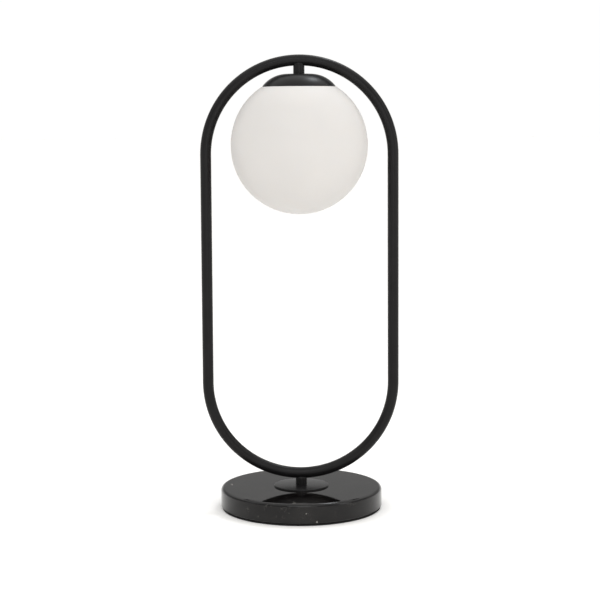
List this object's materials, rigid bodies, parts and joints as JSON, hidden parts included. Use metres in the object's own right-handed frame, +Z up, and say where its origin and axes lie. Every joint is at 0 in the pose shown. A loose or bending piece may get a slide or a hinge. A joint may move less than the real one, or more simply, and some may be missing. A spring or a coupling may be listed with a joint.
{
  "type": "table lamp",
  "caption": "Table lamp with a closed oval loop of round black tube on a round stone foot, and an opal glass globe screwed up under a small cap inside the loop's top.",
  "frame": {"origin": "centre of the foot's underside, on the surface that the lamp stands on", "axes": "+Z up along the lamp's axis, X along the plane of the loop, +Y to the rear, where the cord goes in"},
  "size_m": [0.216, 0.178, 0.4979],
  "materials": {
    "black_steel": "matt black powder coat",
    "stone": "polished black marble with a few white flecks",
    "opal_glass": "opal, matt outside",
    "pad": "matt",
    "black_plastic": "matt",
    "white_plastic": "satin",
    "zinc_steel": "zinc plated",
    "brass": "plain",
    "ceramic": "unglazed",
    "silicone": "translucent white",
    "frosted_cover": "frosted",
    "led_board": "white board with yellow phosphor",
    "lead_brown": "satin",
    "lead_blue": "satin"
  },
  "bodies": {
    "frame": {"base_pad": "pad", "base_slab": "stone", "cord_grommet": "black_plastic", "foot_plate": "black_steel", "base_washer": "zinc_steel", "earth_tag": "brass", "base_nut": "zinc_steel", "lower_nipple": "zinc_steel", "terminal_block": "white_plastic", "terminal_screws": "zinc_steel", "lower_stem": "black_steel", "frame_loop": "black_steel", "upper_stem": "black_steel", "cap": "black_steel", "upper_nipple": "zinc_steel", "cap_washer": "zinc_steel", "cap_nut": "zinc_steel", "globe_collar": "zinc_steel", "collar_nut": "zinc_steel", "holder_bracket": "zinc_steel", "lampholder": "ceramic", "socket_contacts": "brass", "holder_screws": "zinc_steel", "lead_live": "lead_brown", "lead_neutral": "lead_blue"},
    "gasket": {"neck_gasket": "silicone"},
    "globe": {"globe": "opal_glass"},
    "bulb": {"bulb_base": "white_plastic", "bulb_pins": "zinc_steel", "bulb_envelope": "frosted_cover", "led_board": "led_board"}
  },
  "joints": [
    {"name": "globe_lower", "type": "slide", "parent": "frame", "child": "gasket", "axis": [0, 0, -1], "range_m": [0, 0.0046]},
    {"name": "globe_unscrew", "type": "hinge", "parent": "gasket", "child": "globe", "pos_m": [0, 0, 0.4635], "axis": [0, 0, -1], "range_deg": [0, 540]},
    {"name": "bulb_pull", "type": "slide", "parent": "frame", "child": "bulb", "axis": [0, 0, -1], "range_m": [0, 0.0105]}
  ],
  "couplings": [
    {"joint": "globe_lower", "follows": "globe_unscrew", "m_per_rad": 0.00047746}
  ]
}
